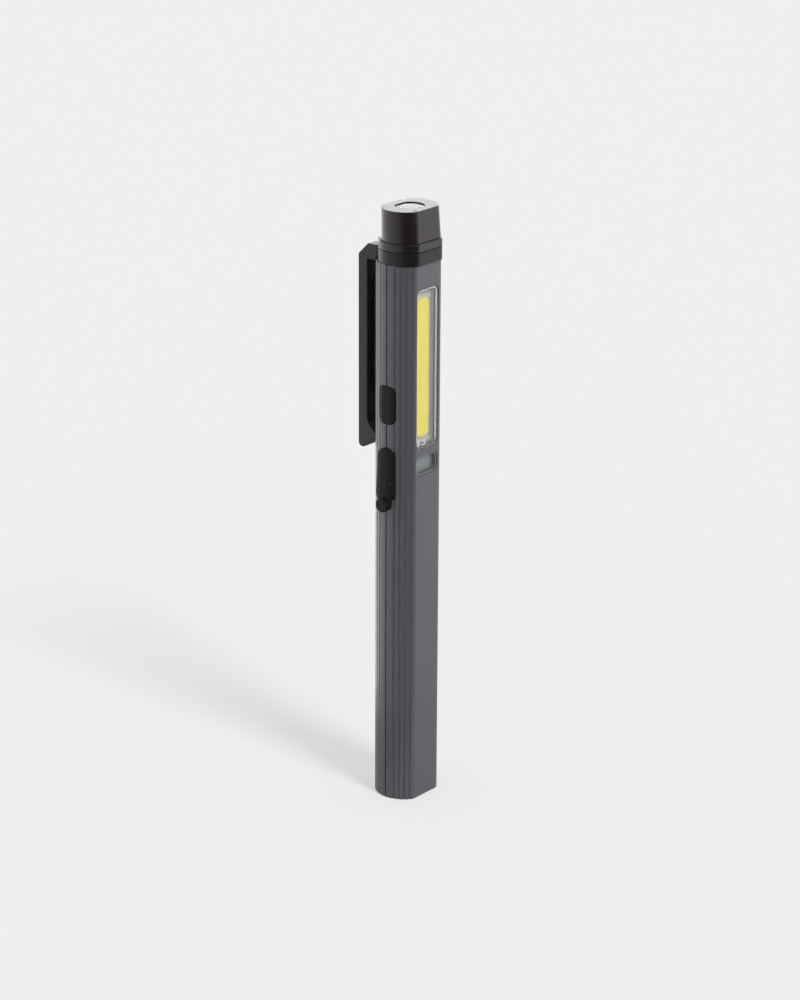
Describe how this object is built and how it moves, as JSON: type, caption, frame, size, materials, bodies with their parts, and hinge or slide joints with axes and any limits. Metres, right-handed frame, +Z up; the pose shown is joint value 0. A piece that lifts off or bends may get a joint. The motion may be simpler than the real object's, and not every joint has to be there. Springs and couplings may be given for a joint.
{
  "type": "penlight",
  "caption": "Slim standing pocket work light with a long front light strip, a torch in its cap, a side button, a covered charging port and a back clip with a magnet.",
  "frame": {"origin": "middle of the flat base face that the light stands on", "axes": "+Z up along the body to the torch cap, -Y the front with the light strip, +Y the back with the clip, -X the side with the button and the charging port"},
  "size_m": [0.0198, 0.0204, 0.165],
  "materials": {
    "grey_shell": "satin",
    "black_plastic": "satin",
    "black_rubber": "matte",
    "clear_plastic": "polished",
    "smoked_plastic": "frosted",
    "white_plastic": "matte",
    "white_board": "solder mask",
    "phosphor": "silicone",
    "green_board": "solder mask",
    "solder": "solder",
    "steel": "brushed",
    "brass_pins": "plated",
    "magnet": "nickel plated",
    "chip_black": "moulded",
    "cell_sleeve": "shrink sleeve",
    "lead_insulation": "silicone",
    "foam": "open cell foam"
  },
  "bodies": {
    "light_body": {"front_shell": "grey_shell", "rear_shell": "grey_shell", "clip_collar": "black_plastic", "head_ring": "black_plastic", "head_cap": "black_plastic", "torch_lens": "clear_plastic", "lens_gasket": "black_rubber", "torch_spacer": "white_plastic", "torch_board": "white_board", "torch_led": "phosphor", "torch_leads": "lead_insulation", "light_window": "clear_plastic", "window_frame": "white_plastic", "strip_board": "white_board", "phosphor_strip": "phosphor", "strip_pads": "solder", "indicator_window": "smoked_plastic", "indicator_lights": "white_plastic", "main_board": "green_board", "board_chips": "chip_black", "board_screws": "steel", "board_pins": "brass_pins", "switch_body": "chip_black", "port_shell": "steel", "port_tongue": "chip_black", "cover_anchor": "black_rubber", "battery_cell": "cell_sleeve", "cell_tabs": "steel", "battery_leads": "lead_insulation", "lead_joints": "solder", "cell_pad": "foam"},
    "clip_arm": {"clip": "black_plastic", "clip_pin": "steel", "clip_magnet": "magnet", "magnet_cover": "black_plastic"},
    "button": {"power_button": "black_rubber"},
    "plunger": {"switch_plunger": "white_plastic"},
    "cover": {"port_cover": "black_rubber"}
  },
  "joints": [
    {"name": "clip_flex", "type": "hinge", "parent": "light_body", "child": "clip_arm", "pos_m": [0, 0.00802, 0.152], "axis": [1, 0, 0], "range_deg": [0, 5], "stiffness_Nm_per_rad": 3},
    {"name": "button_press", "type": "slide", "parent": "light_body", "child": "button", "axis": [1, 0, 0], "range_m": [0, 0.0004], "stiffness_N_per_m": 3000},
    {"name": "plunger_press", "type": "slide", "parent": "light_body", "child": "plunger", "axis": [1, 0, 0], "range_m": [0, 0.0004]},
    {"name": "cover_swing", "type": "hinge", "parent": "light_body", "child": "cover", "pos_m": [-0.00925, 0, 0.1006], "axis": [0, 1, 0], "range_deg": [0, 110], "stiffness_Nm_per_rad": 0.003}
  ],
  "couplings": [
    {"joint": "plunger_press", "follows": "button_press", "ratio": 1}
  ]
}
